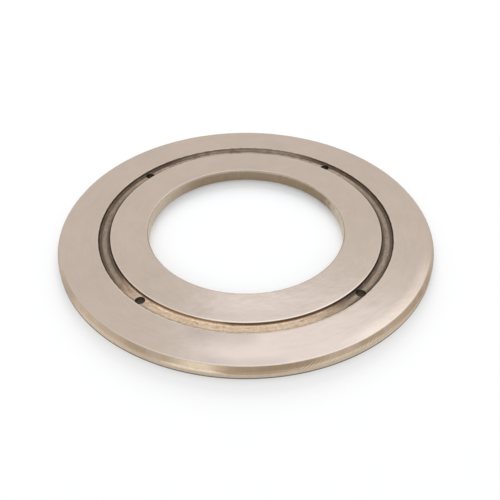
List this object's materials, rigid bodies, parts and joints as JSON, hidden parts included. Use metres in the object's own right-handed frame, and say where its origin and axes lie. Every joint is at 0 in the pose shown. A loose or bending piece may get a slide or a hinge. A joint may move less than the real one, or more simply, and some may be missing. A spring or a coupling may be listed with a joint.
{
  "type": "thrust washer",
  "caption": "Flat bronze thrust washer: a wide ring with a bevelled rim, a plain bore, and a flat-bottomed oil groove on its upper face fed by oil holes that run through to the lower face.",
  "frame": {"origin": "where the bore's axis meets the plane of the lower face", "axes": "+Z along the bore's axis, from the plain lower face to the grooved upper face; the oil holes are stepped round Z from 50.5 degrees off +X"},
  "size_m": [0.15, 0.15, 0.005],
  "materials": {
    "bronze": "satin, fine-turned bearing bronze"
  },
  "bodies": {
    "root": {"thrust_washer": "bronze"}
  },
  "joints": []
}
